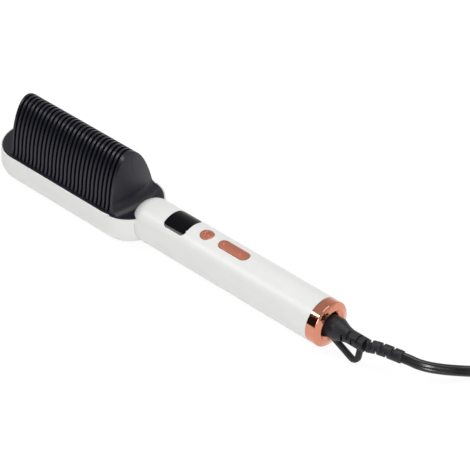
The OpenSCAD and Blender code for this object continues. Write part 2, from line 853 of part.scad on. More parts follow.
// Block on the frame's floor that holds the contact springs
module contact_block() {
    color("#1c1c1f") intersection() {
        mid_box(tail_x0, tail_x0 + 12, 12, 0, contact_block_z);
        round_bar(frame_r - frame_wall - seat_gap, tail_x0 - 1, tail_x0 + 13);
    }
}

// Bowed leaf springs under the slip rings
module contact_springs() {
    leaf_r = 9;
    leaf_t = 0.5;
    color("#d0ab57") for (x = slip_places()) intersection() {
        along_x(x + 0.3, x + slip_w - 0.3) difference() {
            translate([0, contact_z - leaf_r]) circle(r = leaf_r);
            translate([0, contact_z - leaf_r]) circle(r = leaf_r - leaf_t);
        }
        mid_box(x, x + slip_w, 11.4, contact_block_z, contact_z + 1);
    }
}

// ---------------------------------------------------------------- boot

// Outline of the boot: a bell that necks down
module boot_outline() {
    drop = bell_r - neck_r;
    polygon(concat(
        [[0, boot_x0], [bell_r - 0.7, boot_x0], [bell_r - 0.2, boot_x0 + 0.5]],
        [for (i = [0:9]) [bell_r - drop * sin(10 * i), bell_x1 + taper_len * i / 9]],
        [[neck_r, neck_x1], [0, neck_x1]]));
}

// Flexing slots: each row has two, opposite to each other, and every second row is turned.
// For each row, the angle of a slot's middle from the top towards +Y, and the slot's spread
flex_rows = [[-90, 60], [-42, 84], [-78, 60], [-6, 116]];
flex_x0 = neck_x1 - 3.8 - slot_w - (len(flex_rows) - 1) * slot_pitch;

module slot_row(x, middle, spread) {
    for (side = [0, 180]) translate([x, 0, axis_z]) rotate([180 - middle - spread / 2 + side, 0, 0])
        rotate([0, 90, 0]) rotate_extrude(angle = spread) translate([neck_r - slot_depth, 0])
            square([bell_r, slot_w]);
}

loop_r = 5;
loop_root = loop_bar + 0.5;
loop_x0 = boot_x0 + 6.2;

// Middle of the rounded corner that hangs furthest down
loop_tip = [neck_x1 - loop_r - 1.4, loop_reach - loop_r];

module loop_shape() {
    inner_r = loop_r - loop_bar;
    inner_x = loop_tip[0] - loop_root + loop_bar;
    slant = atan2(loop_tip[1] + loop_r - bell_r, loop_tip[0] - loop_x0);
    inner_x0 = inner_x - inner_r * sin(slant) - (loop_tip[1] + inner_r * cos(slant)) / tan(slant);
    difference() {
        polygon(concat([[loop_x0, 0], [loop_x0, bell_r - 0.4]],
            arc(loop_tip[0], loop_tip[1], loop_r, loop_r, 90 + slant, 0, 8),
            [[loop_tip[0] + loop_r, 0]]));
        polygon(concat([[inner_x0, 0], [inner_x + inner_r, 0]],
            arc(inner_x, loop_tip[1], inner_r, inner_r, 0, 90 + slant, 4)));
    }
}

// Rubber boot that turns with the cord, with its hanging loop
module boot_collar() {
    color("#3a3a40") difference() {
        union() {
            difference() {
                about_axis() boot_outline();
                for (i = [0:len(flex_rows) - 1])
                    slot_row(flex_x0 + i * slot_pitch, flex_rows[i][0], flex_rows[i][1]);
            }
            translate([0, 0, axis_z]) rotate([180 - loop_turn, 0, 0]) translate([0, loop_t / 2, 0])
                rotate([90, 0, 0]) linear_extrude(loop_t) loop_shape();
        }
        round_bar(shaft_r + 0.02, boot_x0 - 1, bell_x1 - 0.45);
        round_bar(stem_end_r + shaft_fit, neck_x1 - stem_len - seat_gap, neck_x1 + 1);
    }
}

// ---------------------------------------------------------------- cord

function route_point(q) = [neck_x1 + q[0], q[1], coil_z + (axis_z - coil_z) * q[2]];
relief_points = [for (q = relief_route) route_point(q)];
lead_start = relief_points[len(relief_points) - 1];
lead_points = concat([lead_start], [for (q = cord_route) route_point(q)]);

relief_core_r = cord_r + 0.15;
relief_rows = 5;
relief_row0 = 3.2;
relief_pitch = 3.45;
relief_slot_w = 1.4;
relief_slot_half = 100;
relief_middles = [20, -160];
relief_face = 0.4;

// Point of the relief's middle line at the distance x past the neck
function relief_at(x) = curve_at(relief_points, x / (relief_route[1][0] - relief_route[0][0]));

// Rings of a slot whose middle lies x past the neck: place and radius or radii
function slot_rings(x, middle) = let (h = relief_slot_w / 2, slot = [relief_core_r, relief_r, middle])
    [[x - h - eps, relief_r], [x - h, slot], [x + h, slot], [x + h + eps, relief_r]];

// Ribbed strain relief: a straight stem inside the boot's neck, then a body with slots
// from both sides by turns
module strain_relief() {
    last = relief_route[len(relief_route) - 1][0];
    body = concat([for (i = [0:relief_rows - 1]) for (b = slot_rings(relief_row0 + i * relief_pitch,
        relief_middles[i % 2])) b], [[last - 2.5, relief_r], [last - 0.5, relief_r], [last, relief_r - 0.5]]);
    stem = [[-stem_len, stem_end_r], [-stem_len / 2, stem_end_r], [relief_face - eps, stem_end_r],
        [relief_face, relief_r], [relief_face + eps, relief_r]];
    path = concat([for (b = stem) relief_points[0] + [b[0], 0, 0]], [for (b = body) relief_at(b[0])]);
    color("#36363b") tube(path, [for (b = concat(stem, body)) b[1]], 24, len(stem));
}

// The cord leaves the relief along its last stretch
lead_rings = 16;
lead_smooth = smooth_path(lead_points, lead_rings);
lead_end = lead_points[len(lead_points) - 1];
lead_turn = atan2(lead_end[1] - lead_points[len(lead_points) - 2][1],
    lead_end[0] - lead_points[len(lead_points) - 2][0]);
lead_heading = [cos(lead_turn), sin(lead_turn), 0];
lead_path = concat([lead_start, lead_start + 0.6 * direction(relief_points, len(relief_points) - 1)],
    [for (i = [1:lead_rings - 1]) lead_smooth[i]], [lead_end - 0.5 * lead_heading, lead_end]);

module cord() {
    color("#19191b") tube(lead_path, [for (p = lead_path) cord_r], 10);
}

// The coil starts where the lead-out cord ends and winds to the right.
// Its layers spiral in and out by turns and climb where the spiral turns back.
coil_a0 = lead_turn + 90;
straight = cord_d;
coil_start = lead_end + straight * lead_heading;
coil_mid = [coil_start[0] - coil_outer_r * cos(coil_a0), coil_start[1] - coil_outer_r * sin(coil_a0), 0];
coil_all = 4 * coil_turns;

function coil_radius(t) = coil_inner_r + coil_step * abs(t % (2 * coil_turns) - coil_turns);
function coil_height(t) = coil_z
    + coil_step * (ease(2 * (t - coil_turns) + 0.5) + ease(2 * (t - 2 * coil_turns) + 0.5)
    + ease(2 * (t - 3 * coil_turns) + 0.5));
function coil_point(t, r, z) = let (a = coil_a0 - 360 * t)
    [coil_mid[0] + r * cos(a), coil_mid[1] + r * sin(a), z];

coil_steps = 24;
coil_path = concat([lead_end],
    [for (i = [0:coil_all * coil_steps]) let (t = i / coil_steps)
        coil_point(t, coil_radius(t), coil_height(t))],
    [coil_point(0, coil_outer_r, coil_top) + straight * lead_heading]);

// Least distance between middle lines of the coil, a turn or more apart
function coil_least() = let (n = coil_all * coil_steps)
    min([for (i = [1:n - coil_steps + 4]) for (j = [i + coil_steps - 4:n])
        norm(coil_path[i] - coil_path[j])]);

module cord_coil() {
    echo(coil_gap_to_itself = coil_least() - cord_d, coil_length = path_len(coil_path));
    color("#19191b") tube(coil_path, [for (p = coil_path) cord_r], 6);
}

// The tail climbs onto the coil and turns inwards, to the plug that lies on the coil
tail_r = 26;
tail_turn = 100;
tail_steps = 12;
tail_straight = 8;
tail_arc = tail_r * tail_turn * PI / 180;
tail_climb = tail_arc + tail_straight - 1;
tail_mid = coil_point(0, coil_outer_r - tail_r, 0) + straight * lead_heading;
function tail_point(d) = let (a = coil_a0 - tail_turn * min(d / tail_arc, 1), past = max(d - tail_arc, 0))
    [tail_mid[0] + tail_r * cos(a) + past * sin(a), tail_mid[1] + tail_r * sin(a) - past * cos(a),
        coil_top + (plug_z - coil_top) * ease(d / tail_climb)];
tail_head = coil_a0 - tail_turn - 90;
tail_end = tail_point(tail_arc + tail_straight);
tail_path = concat([tail_point(0), tail_point(0) + 0.5 * lead_heading],
    [for (i = [1:tail_steps]) tail_point(tail_climb * i / tail_steps)], [tail_end]);

module cord_tail() {
    echo(tail_gap = min([for (p = tail_path, i = [0:len(coil_path) - 12]) norm(p - coil_path[i])]) - cord_d);
    echo(cord_length = path_len(lead_path) + path_len(coil_path) + path_len(tail_path));
    color("#19191b") tube(tail_path, [for (p = tail_path) cord_r], 10);
}

// Strap round the coil, a quarter turn before the place where the cord comes in
module cord_tie() {
    room = cord_r + 0.45;
    r0 = coil_inner_r - room;
    r1 = coil_outer_r + room;
    z1 = coil_top + room;
    color("#2c2c30") translate([coil_mid[0], coil_mid[1], 0]) rotate([0, 0, coil_a0 + 90]) difference() {
        mid_box(r0 - tie_t, r1 + tie_t, tie_w, 0, z1 + tie_t);
        mid_box(r0, r1, tie_w + 1, coil_z - room + eps, z1);
    }
}

// ---------------------------------------------------------------- plug

module at_plug() {
    translate(tail_end) rotate([0, 0, tail_head]) children();
}

// Flat two-pin plug that lies on the coil
module plug_body() {
    neck = 5;
    color("#1e1e21") at_plug() intersection() {
        linear_extrude(plug_h, center = true) polygon([
            [0, -neck], [plug_len * 0.35, -neck - 1], [plug_len * 0.7, -plug_w / 2],
            [plug_len, -plug_w / 2], [plug_len, plug_w / 2], [plug_len * 0.7, plug_w / 2],
            [plug_len * 0.35, neck + 1], [0, neck]]);
        along_y(plug_w + 2) polygon([
            [0, -neck], [plug_len * 0.5, -plug_h / 2], [plug_len, -plug_h / 2],
            [plug_len, plug_h / 2], [plug_len * 0.5, plug_h / 2], [0, neck]]);
    }
}

module plug_pins() {
    color("#c5c8cc") at_plug() for (side = [-1, 1]) translate([plug_len, side * pin_pitch / 2, 0])
        rotate([0, 90, 0]) cylinder(r = pin_r, h = pin_len);
}

head_shell();
comb_deck();
heat_comb();
ptc_near();
ptc_far();
ptc_wedge();
thermal_cutout();
temperature_sensor();
heat_tray();
tray_screws();
handle_sleeve();
core_frame();
neck_screw();
control_board();
power_supply();
capacitor();
triac();
switches();
display_module();
display_window();
power_button();
rocker_bracket();
rocker_button();
heater_leads();
end_ring();
swivel_seat();
swivel_rotor();
slip_rings();
contact_block();
contact_springs();
boot_collar();
strain_relief();
cord();
cord_coil();
cord_tail();
cord_tie();
plug_body();
plug_pins();
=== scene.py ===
# %% [markdown]
# # A heated straightening comb
# The object is a hair tool: a white head shell with a black toothed comb on it, a round white
# handle with a display and two rose-gold buttons, and a cord that swivels in a polished ring.
# The solids come from the CAD model, so this file only dresses them. Every length is in metres,
# with X along the handle, Z up and the comb lying on its back on z = 0.

# %% Load the solids
import json
import math
import bmesh
import bpy
import numpy as np
from mathutils import Matrix, Vector

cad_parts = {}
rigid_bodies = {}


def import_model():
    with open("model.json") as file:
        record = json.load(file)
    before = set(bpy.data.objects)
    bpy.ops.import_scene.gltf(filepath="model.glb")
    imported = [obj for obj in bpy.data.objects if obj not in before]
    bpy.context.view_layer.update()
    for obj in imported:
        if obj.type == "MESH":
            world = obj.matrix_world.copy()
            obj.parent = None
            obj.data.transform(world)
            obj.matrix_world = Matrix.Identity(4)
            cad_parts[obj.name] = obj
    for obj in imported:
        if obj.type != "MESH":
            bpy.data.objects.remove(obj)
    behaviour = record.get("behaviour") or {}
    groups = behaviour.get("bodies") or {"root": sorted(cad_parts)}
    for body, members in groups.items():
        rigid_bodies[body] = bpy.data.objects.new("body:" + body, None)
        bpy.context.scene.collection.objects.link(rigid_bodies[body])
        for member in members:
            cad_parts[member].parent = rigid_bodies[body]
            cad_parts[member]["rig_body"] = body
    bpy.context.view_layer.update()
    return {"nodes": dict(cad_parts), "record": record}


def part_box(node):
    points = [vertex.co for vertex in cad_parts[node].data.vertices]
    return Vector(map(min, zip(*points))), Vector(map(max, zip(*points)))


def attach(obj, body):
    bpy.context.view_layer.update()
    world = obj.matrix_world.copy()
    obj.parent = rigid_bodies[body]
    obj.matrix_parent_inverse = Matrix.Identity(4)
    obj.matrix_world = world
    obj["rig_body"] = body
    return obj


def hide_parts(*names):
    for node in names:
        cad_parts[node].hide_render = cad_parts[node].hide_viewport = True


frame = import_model()
MM = 0.001
print("solids:", len(frame["nodes"]))

# %% [markdown]
# ## Camera
# The picture was taken from above and from the cord's side with a long lens, which keeps the
# handle nearly parallel. A camera is placed here by where it looks, from which direction and how
# far away, so those are the values to write down. A little roll tips the horizon.

# %% Camera
CAMERA_TURN = math.radians(46.13)
CAMERA_RISE = math.radians(40.06)
CAMERA_ROLL = math.radians(-3.68)
CAMERA_DISTANCE = 1575.6 * MM
CAMERA_AIM = Vector((-4.75, 43.3, -8.1)) * MM
LENS_LONG = 181.44


def camera_axes(turn, rise, roll):
    """Right, up and backward directions of a camera that looks at its aim."""
    back = Vector((math.sin(turn) * math.cos(rise), -math.cos(turn) * math.cos(rise), math.sin(rise)))
    level = Vector((math.cos(turn), math.sin(turn), 0))
    steep = back.cross(level)
    right = level * math.cos(roll) + steep * math.sin(roll)
    return right, back.cross(right), back


def make_camera():
    data = bpy.data.cameras.new("long_lens")
    data.lens = LENS_LONG
    data.clip_end = 20
    camera = bpy.data.objects.new("camera", data)
    bpy.context.scene.collection.objects.link(camera)
    right, up, back = camera_axes(CAMERA_TURN, CAMERA_RISE, CAMERA_ROLL)
    turn = Matrix((right, up, back)).transposed().to_4x4()
    camera.matrix_world = Matrix.Translation(CAMERA_AIM + back * CAMERA_DISTANCE) @ turn
    bpy.context.scene.camera = camera
    return camera


camera = make_camera()
print("camera at", [round(v, 3) for v in camera.matrix_world.translation])

# %% [markdown]
# ## Helpers for materials
# A material is a small graph of nodes. One function adds a node with its settings and links, and
# another turns the hex colours that designers write into the linear numbers that light needs.

# %% Material helpers


def linear(hex_colour):
    """Linear red, green, blue and alpha of an sRGB hex colour."""
    parts = [int(hex_colour[i:i + 2], 16) / 255 for i in (1, 3, 5)]
    return [v / 12.92 if v <= 0.04045 else ((v + 0.055) / 1.055) ** 2.4 for v in parts] + [1.0]


def add_node(tree, kind, links=(), **settings):
    """A node of that kind. Settings are sockets or properties, links are (socket, source socket)."""
    node = tree.nodes.new(kind)
    for name, value in settings.items():
        socket = node.inputs.get(name.replace("_", " "))
        if socket is None:
            setattr(node, name, value)
        else:
            socket.default_value = value
    for name, source in links:
        tree.links.new(source, node.inputs[name])
    return node


def start_material(name):
    """An empty material with its output node."""
    material = bpy.data.materials.new(name)
    material.use_nodes = True
    material.node_tree.nodes.clear()
    output = material.node_tree.nodes.new("ShaderNodeOutputMaterial")
    return material, material.node_tree, output


def grain(tree, size_mm, detail=2.0, roughness=0.5):
    """Noise whose features are about size_mm across, measured on the object itself."""
    place = add_node(tree, "ShaderNodeTexCoord")
    return add_node(tree, "ShaderNodeTexNoise", [("Vector", place.outputs["Object"])],
                    Scale=1 / (size_mm * MM), Detail=detail, Roughness=roughness)


def moulded(name, colour, darker, rough, rough_spread, grain_mm, bump_mm, **shader):
    """Moulded plastic: a fine eroded grain in the height, and a slow drift in colour and gloss."""
    material, tree, output = start_material(name)
    fine = grain(tree, grain_mm, 3.0)
    slow = grain(tree, 9.0, 1.0)
    colours = add_node(tree, "ShaderNodeMix", [("Factor", slow.outputs["Fac"])], data_type="RGBA")
    colours.inputs[6].default_value = linear(colour)
    colours.inputs[7].default_value = linear(darker)
    gloss = add_node(tree, "ShaderNodeMapRange", [("Value", fine.outputs["Fac"])])
    gloss.inputs["To Min"].default_value = rough - rough_spread
    gloss.inputs["To Max"].default_value = rough + rough_spread
    bump = add_node(tree, "ShaderNodeBump", [("Height", fine.outputs["Fac"])],
                    Strength=0.35, Distance=bump_mm * MM)
    surface = add_node(tree, "ShaderNodeBsdfPrincipled", [
        ("Base Color", colours.outputs[2]), ("Roughness", gloss.outputs["Result"]),
        ("Normal", bump.outputs["Normal"])], **shader)
    tree.links.new(surface.outputs["BSDF"], output.inputs["Surface"])
    return material


def plated(name, colour, deeper, rough, scratch_mm=6.0):
    """Polished or brushed metal: full metallic, with faint wiping marks in its gloss."""
    material, tree, output = start_material(name)
    wipe = grain(tree, scratch_mm, 2.0)
    colours = add_node(tree, "ShaderNodeMix", [("Factor", wipe.outputs["Fac"])], data_type="RGBA")
    colours.inputs[6].default_value = linear(colour)
    colours.inputs[7].default_value = linear(deeper)
    gloss = add_node(tree, "ShaderNodeMapRange", [("Value", wipe.outputs["Fac"])])
    gloss.inputs["To Min"].default_value = rough * 0.8
    gloss.inputs["To Max"].default_value = rough * 1.2
    surface = add_node(tree, "ShaderNodeBsdfPrincipled", [
        ("Base Color", colours.outputs[2]), ("Roughness", gloss.outputs["Result"])], Metallic=1.0)
    tree.links.new(surface.outputs["BSDF"], output.inputs["Surface"])
    return material


# %% [markdown]
# ## Materials of the comb
# Shell and handle are ABS, moulded in white with a satin grain. The comb is nylon filled with
# glass: it is nearly black itself, and the grey that the eye sees on it is the pale room in its
# sheen. The boot and the cord's strain relief are a soft rubber, and the cord is PVC with more
# gloss. Ring and buttons are plated in a pink gold, polished on the ring and satin on the
# buttons. The rim round the comb and the lit dot in the display are polished white ABS, painted
# a shade whiter than the shell: a painted highlight on the rim, and painted light in the dot.

# %% Materials
abs_white = moulded("satin_white_abs", "#e6e6e4", "#e2e2e0", 0.38, 0.03, 0.5, 0.006, IOR=1.53)
nylon_black = moulded("black_glass_filled_nylon", "#141420", "#10101b", 0.36, 0.05, 0.4, 0.012,
                      IOR=1.53, Specular_IOR_Level=0.38)
abs_black = moulded("matt_black_abs", "#1b1b1e", "#161619", 0.55, 0.05, 0.5, 0.02, IOR=1.53)
rubber_boot = moulded("satin_black_rubber", "#1e1e24", "#19191f", 0.45, 0.05, 0.4, 0.02,
                      IOR=1.52, Specular_IOR_Level=0.35)
pvc_cord = moulded("black_pvc", "#0e0e12", "#0b0b0e", 0.2, 0.03, 0.8, 0.006, IOR=1.54)
pmma_black = moulded("black_acrylic_window", "#07080c", "#050609", 0.08, 0.02, 3.0, 0.001,
                     IOR=1.49, Specular_IOR_Level=0.12)
# A shade whiter than the shell's white: a painted highlight on the rim bead, and painted light in the
# display's lit dot.
white_painted_light = moulded("polished_white_painted_light", "#f2f2f0", "#eeeeec", 0.22, 0.03, 0.5, 0.002, IOR=1.53)
circuit_green = moulded("green_solder_mask", "#1d6b45", "#185a3a", 0.35, 0.05, 1.0, 0.02, IOR=1.5)
nylon_yellow = moulded("yellow_film", "#c9a23a", "#b8922f", 0.45, 0.05, 1.0, 0.02, IOR=1.5)
silicone_red = moulded("red_silicone_sleeve", "#b23a34", "#9c312c", 0.5, 0.05, 0.6, 0.02, IOR=1.43)
rose_gold = plated("polished_rose_gold", "#d9937a", "#d28b71", 0.09)
rose_satin = plated("satin_rose_gold", "#d98c74", "#d0836b", 0.32)
anodised = plated("dark_anodised_aluminium", "#2b2c30", "#232428", 0.45, 1.0)
steel_bright = plated("bright_zinc_steel", "#b4b6ba", "#a4a6aa", 0.3, 2.0)
brass_bright = plated("bright_brass", "#caa45a", "#bd974c", 0.2, 2.0)
nickel = plated("polished_nickel", "#c8c8cc", "#bcbcc0", 0.15, 3.0)

FINISHES = {
    "white_satin": abs_white, "black_satin": nylon_black, "black_plastic": abs_black,
    "dark_aluminium": anodised, "ceramic_heater": nylon_yellow, "spring_steel": steel_bright,
    "green_plastic": circuit_green, "yellow_plastic": nylon_yellow, "red_plastic": silicone_red,
    "display_gloss": pmma_black, "rose_gold": rose_gold, "brass": brass_bright, "nickel": nickel,
    "boot_plastic": abs_black, "boot_rubber": rubber_boot, "cord_rubber": pvc_cord}
SLOTS = {part["node"]: part["material_slot"] for part in frame["record"]["subparts"]}


def paint(piece, *materials):
    """These materials on the piece, the first one everywhere unless its faces say otherwise."""
    piece.data.materials.clear()
    for material in materials:
        piece.data.materials.append(material)


for name, slot in SLOTS.items():
    paint(frame["nodes"][name], FINISHES[slot])
print("materials:", len(bpy.data.materials))

# %% [markdown]
# ## Floor and light
# A product picture on pure white. The floor is white to the camera and mostly so to mirrors, and
# keeps a soft shadow for the light that falls on it.

# %% Floor
FLOOR_GLOWS = 0.85    # share of the floor that glows, to a camera or a mirror
FLOOR_WHITE = 1.06    # just past white, so that no grey is left after rounding


def make_floor():
    material, tree, output = start_material("white_paper_floor")
    path = add_node(tree, "ShaderNodeLightPath")
    seen = add_node(tree, "ShaderNodeMath", [
        (0, path.outputs["Is Camera Ray"]), (1, path.outputs["Is Glossy Ray"])], operation="MAXIMUM")
    seen = add_node(tree, "ShaderNodeMath", [
        (0, seen.outputs[0]), (1, path.outputs["Is Transmission Ray"])], operation="MAXIMUM")
    share = add_node(tree, "ShaderNodeMath", [(0, seen.outputs[0])], operation="MULTIPLY")
    share.inputs[1].default_value = FLOOR_GLOWS
    paper = add_node(tree, "ShaderNodeBsdfDiffuse", Color=linear("#f4f4f4"))
    glow = add_node(tree, "ShaderNodeEmission", Color=linear("#ffffff"), Strength=FLOOR_WHITE)
    both = add_node(tree, "ShaderNodeMixShader", [
        (0, share.outputs[0]), (1, paper.outputs[0]), (2, glow.outputs[0])])
    tree.links.new(both.outputs[0], output.inputs["Surface"])
    bpy.ops.mesh.primitive_plane_add(size=6, location=(0, 0, -0.0002))
    floor = bpy.context.object
    floor.name = "floor"
    paint(floor, material)
    return floor


floor = make_floor()
print("floor:", floor.name)

# %% [markdown]
# ## Room and lamps
# Polished metal shows hardly anything of its own: it shows the room. So the room is pale at the
# height of the eye, a little darker overhead, and dark in one corner, which gives the ring its
# dark patch and the comb's ribs their black flanks. A large soft lamp above gives the white
# plastic its slow shading, a narrow one lights the edges from the cord's side, and a small one
# makes the bright patch on the ring.

# %% Room
HORIZON = (0.1, 0.75)         # height of a direction where the room starts and ends to darken
CORNER_EDGE = (0.62, 0.9)     # how near to the corner's middle its shade starts and is full


def fade(tree, source, low, high, value_low, value_high):
    """Smooth step of a direction's part from one strength to another."""
    step = add_node(tree, "ShaderNodeMapRange", [("Value", source)], interpolation_type="SMOOTHSTEP")
    for name, value in (("From Min", low), ("From Max", high),
                        ("To Min", value_low), ("To Max", value_high)):
        step.inputs[name].default_value = value
    return step.outputs["Result"]


def make_room(level, zenith, corner, corner_level):
    """A world that is pale at the height of the eye, darker overhead, and dark in one corner.
    The camera sees it white."""
    world = bpy.data.worlds.new("pale_studio")
    bpy.context.scene.world = world
    world.use_nodes = True
    tree = world.node_tree
    tree.nodes.clear()
    place = add_node(tree, "ShaderNodeTexCoord")
    apart = add_node(tree, "ShaderNodeSeparateXYZ", [(0, place.outputs["Generated"])])
    rise = fade(tree, apart.outputs["Z"], *HORIZON, level, zenith)
    toward = add_node(tree, "ShaderNodeVectorMath", [(0, place.outputs["Generated"])],
                      operation="DOT_PRODUCT")
    toward.inputs[1].default_value = Vector(corner).normalized()
    shade = fade(tree, toward.outputs["Value"], *CORNER_EDGE, 1.0, corner_level)
    both = add_node(tree, "ShaderNodeMath", [(0, rise), (1, shade)], operation="MULTIPLY")
    path = add_node(tree, "ShaderNodeLightPath")
    strength = add_node(tree, "ShaderNodeMix", [
        ("Factor", path.outputs["Is Camera Ray"]), (2, both.outputs[0])])
    strength.inputs[3].default_value = 1.0
    light = add_node(tree, "ShaderNodeBackground", [("Strength", strength.outputs[0])],
                     Color=linear("#ffffff"))
    output = add_node(tree, "ShaderNodeOutputWorld")
    tree.links.new(light.outputs[0], output.inputs["Surface"])


def softbox(name, at, aim, width, height, power):
    """A rectangular lamp that points at aim."""
    data = bpy.data.lights.new(name, "AREA")
    data.shape = "RECTANGLE"
    data.size = width
    data.size_y = height
    data.energy = power
    lamp = bpy.data.objects.new(name, data)
    bpy.context.scene.collection.objects.link(lamp)
    toward = Vector(aim) - Vector(at)
    lamp.matrix_world = Matrix.Translation(at) @ toward.to_track_quat("-Z", "Y").to_matrix().to_4x4()
    return lamp


make_room(level=0.72, zenith=0.5, corner=(-0.55, -0.83, 0.05), corner_level=0.03)
softbox("top_softbox", (0.05, 0.3, 1.3), (0, 0, 0), 1.1, 0.9, 7)
softbox("edge_softbox", (1.0, -0.7, 0.45), (0, 0, 0), 0.25, 0.5, 5)
softbox("ring_softbox", (-0.7, -0.62, 0.95), (0.1, 0, 0), 0.26, 0.3, 3.5)

bpy.context.scene.view_settings.view_transform = "Standard"
print("lamps:", len(bpy.data.lights))

# %% [markdown]
# ## Helpers for pieces
# Two ways of making a piece are used again and again. The first takes a copy of a CAD solid and
# rounds its sharp edges over: no moulded part has a knife edge, and the thin light lines that
# the eye reads as a real edge come from that rounding. The second sweeps a section along a line.

# %% Piece helpers
WELD = 0.002 * MM
FLAT = math.radians(0.5)      # faces that differ by less are one flat face
SHARP = math.radians(32)      # an edge that turns by more is rounded over


def add_piece(name, mesh, node, *materials):
    """A piece that rides where the CAD node rides and takes its finish from the node's slot."""
    piece = bpy.data.objects.new(name, mesh)
    bpy.context.scene.collection.objects.link(piece)
    paint(piece, *(materials or (FINISHES[SLOTS[node]],)))
    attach(piece, frame["nodes"][node]["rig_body"])
    return piece


def clean_copy(name, node):
    """The node's mesh, welded, with its flat faces whole again."""
    mesh = bpy.data.meshes.new(name)
    work = bmesh.new()
    work.from_mesh(frame["nodes"][node].data)
    bmesh.ops.remove_doubles(work, verts=work.verts, dist=WELD)
    bmesh.ops.dissolve_limit(work, angle_limit=FLAT, verts=work.verts, edges=work.edges)
    for edge in work.edges:
        edge.smooth = True
    for face in work.faces:
        face.smooth = True
        face.material_index = 0
    work.to_mesh(mesh)
    work.free()
    if "custom_normal" in mesh.attributes:
        mesh.attributes.remove(mesh.attributes["custom_normal"])
    return mesh


def bevelled(piece, radius_mm, steps=2):
    """Round the piece's sharp edges over."""
    bevel = piece.modifiers.new("rounded_edges", "BEVEL")
    bevel.width = radius_mm * MM
    bevel.segments = steps
    bevel.limit_method = "ANGLE"
    bevel.angle_limit = SHARP
    bevel.harden_normals = True


def rounded(name, node, radius_mm, steps=2):
    """A copy of the node with its edges rounded over. It replaces the node."""
    piece = add_piece(name, clean_copy(name, node), node)
    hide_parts(node)
    bevelled(piece, radius_mm, steps)
    return piece


def middle_x(node):
    """Middle of the node along the handle, in mm."""
    low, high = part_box(node)
    return (low.x + high.x) / 2 / MM


def unit(v):
    return v / np.linalg.norm(v)


def directions(path):
    """Direction of the line at each of its points."""
    ahead = np.vstack([path[1:], path[-1:]])
    behind = np.vstack([path[:1], path[:-1]])
    return [unit(d) for d in ahead - behind]


def skin(name, rings, closed=False, smooth=True):
    """Mesh over rings of points in mm, with two end faces or closed on itself."""
    n, count = len(rings[0]), len(rings)
    faces = [[i * n + k, i * n + (k + 1) % n,
              (i + 1) % count * n + (k + 1) % n, (i + 1) % count * n + k]
             for i in range(count if closed else count - 1) for k in range(n)]
    if not closed:
        faces += [list(range(n - 1, -1, -1)), list(range(count * n - n, count * n))]
    mesh = bpy.data.meshes.new(name)
    mesh.from_pydata((np.vstack(rings) * MM).tolist(), [], faces)
    work = bmesh.new()
    work.from_mesh(mesh)
    bmesh.ops.recalc_face_normals(work, faces=work.faces)
    for face in work.faces:
        face.smooth = smooth
    work.to_mesh(mesh)
    work.free()
    return mesh


def sweep(name, path, section, turns=None):
    """Mesh of a section swept along a line of points in mm. The section's points are (side, up)
    in mm, one section for all or one for each point, and turns is its roll at each point."""
    path = np.array(path, float)
    rings = []
    for i, t in enumerate(directions(path)):
        side = unit(np.cross(t, (0, 0, 1)) if abs(t[2]) < 0.95 else np.cross(t, (0, 1, 0)))
        up = np.cross(side, t)
        roll = turns[i] if turns is not None else 0.0
        a = math.cos(roll) * side + math.sin(roll) * up
        b = math.cos(roll) * up - math.sin(roll) * side
        here = np.array(section[i] if isinstance(section, list) else section, float)
        rings.append(path[i] + here[:, :1] * a + here[:, 1:] * b)
    return skin(name, rings)


def smooth_sides(mesh):
    """Smooth shading on triangles and quads, flat on the end faces."""
    for face in mesh.polygons:
        face.use_smooth = len(face.vertices) < 5


def circle(radius, sides):
    """Round section."""
    turn = np.linspace(0, 2 * math.pi, sides, endpoint=False)
    return np.stack([radius * np.cos(turn), radius * np.sin(turn)], 1)


# %% [markdown]
# ## Cord
# The cord is a flat twin lead: two round wires side by side in one sheath, so a groove runs
# along it and the light makes two lines on it. It leaves the strain relief, bends down to the
# table and goes on outside the picture to a coil, put away as for storage, and to its plug. A
# curve with a bevel could do this, but a swept mesh also lets the flat lead roll about its own
# line: by 50 degrees where the picture shows it, and by 45 in the coil. The points are the CAD
# model's own route, as are the sizes of coil, strap and plug.

# %% Cord route
NECK_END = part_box("boot_collar")[1].x / MM
HANDLE_R = 15.5
AXIS_Z = HANDLE_R
CORD_D = 5.8
STRAP_T, STRAP_LIFT = 1.2, 0.5
COIL_Z = CORD_D / 2 + STRAP_T + STRAP_LIFT
COIL_GAP = 0.55
COIL_STEP = CORD_D + COIL_GAP
COIL_TURNS = 2
COIL_INNER_R = 25.5
COIL_OUTER_R = COIL_INNER_R + COIL_TURNS * COIL_STEP
COIL_TOP = COIL_Z + 3 * COIL_STEP
PLUG_H, PLUG_GAP, PLUG_ENTRY = 13.7, 0.1, 2
PLUG_Z = COIL_TOP + CORD_D / 2 + PLUG_GAP + PLUG_H / 2
TAIL_R = 26
TAIL_TURN = math.radians(100)
TAIL_STRAIGHT = 8
# Places along the lead: mm past the boot, mm across, and height as a share of the handle's axis.
RELIEF_ROUTE = [(0, 0, 1), (4, 1.9, 1), (8, 3.5, 0.99), (12, 4.7, 0.97), (16, 5.8, 0.94),
                (20, 6.9, 0.9), (24, 8.1, 0.85)]
CORD_ROUTE = [(28, 9.3, 0.8), (33, 11.1, 0.69), (38.2, 14.3, 0.56), (43, 18.5, 0.42),
              (47.8, 23.3, 0.28), (56, 32.3, 0.06), (65, 40.8, 0), (76, 48.2, 0), (93, 55.6, 0),
              (113, 60, 0)]
LEAD_STEP = 0.25              # of the way from one place to the next


def curve_at(points, s):
    """Point on a smooth curve through the points, s counted in points."""
    last = len(points) - 1
    i = min(int(s), last - 1)
    t = s - i
    b, c = points[i], points[i + 1]
    a = points[i - 1] if i > 0 else 2 * b - c
    d = points[i + 2] if i < last - 1 else 2 * c - b
    return 0.5 * (2 * b + (c - a) * t + (2 * a - 5 * b + 4 * c - d) * t * t
                  + (3 * b - a - 3 * c + d) * t ** 3)


def ease(t):
    """Smooth step from 0 to 1."""
    t = min(max(t, 0), 1)
    return t * t * (3 - 2 * t)


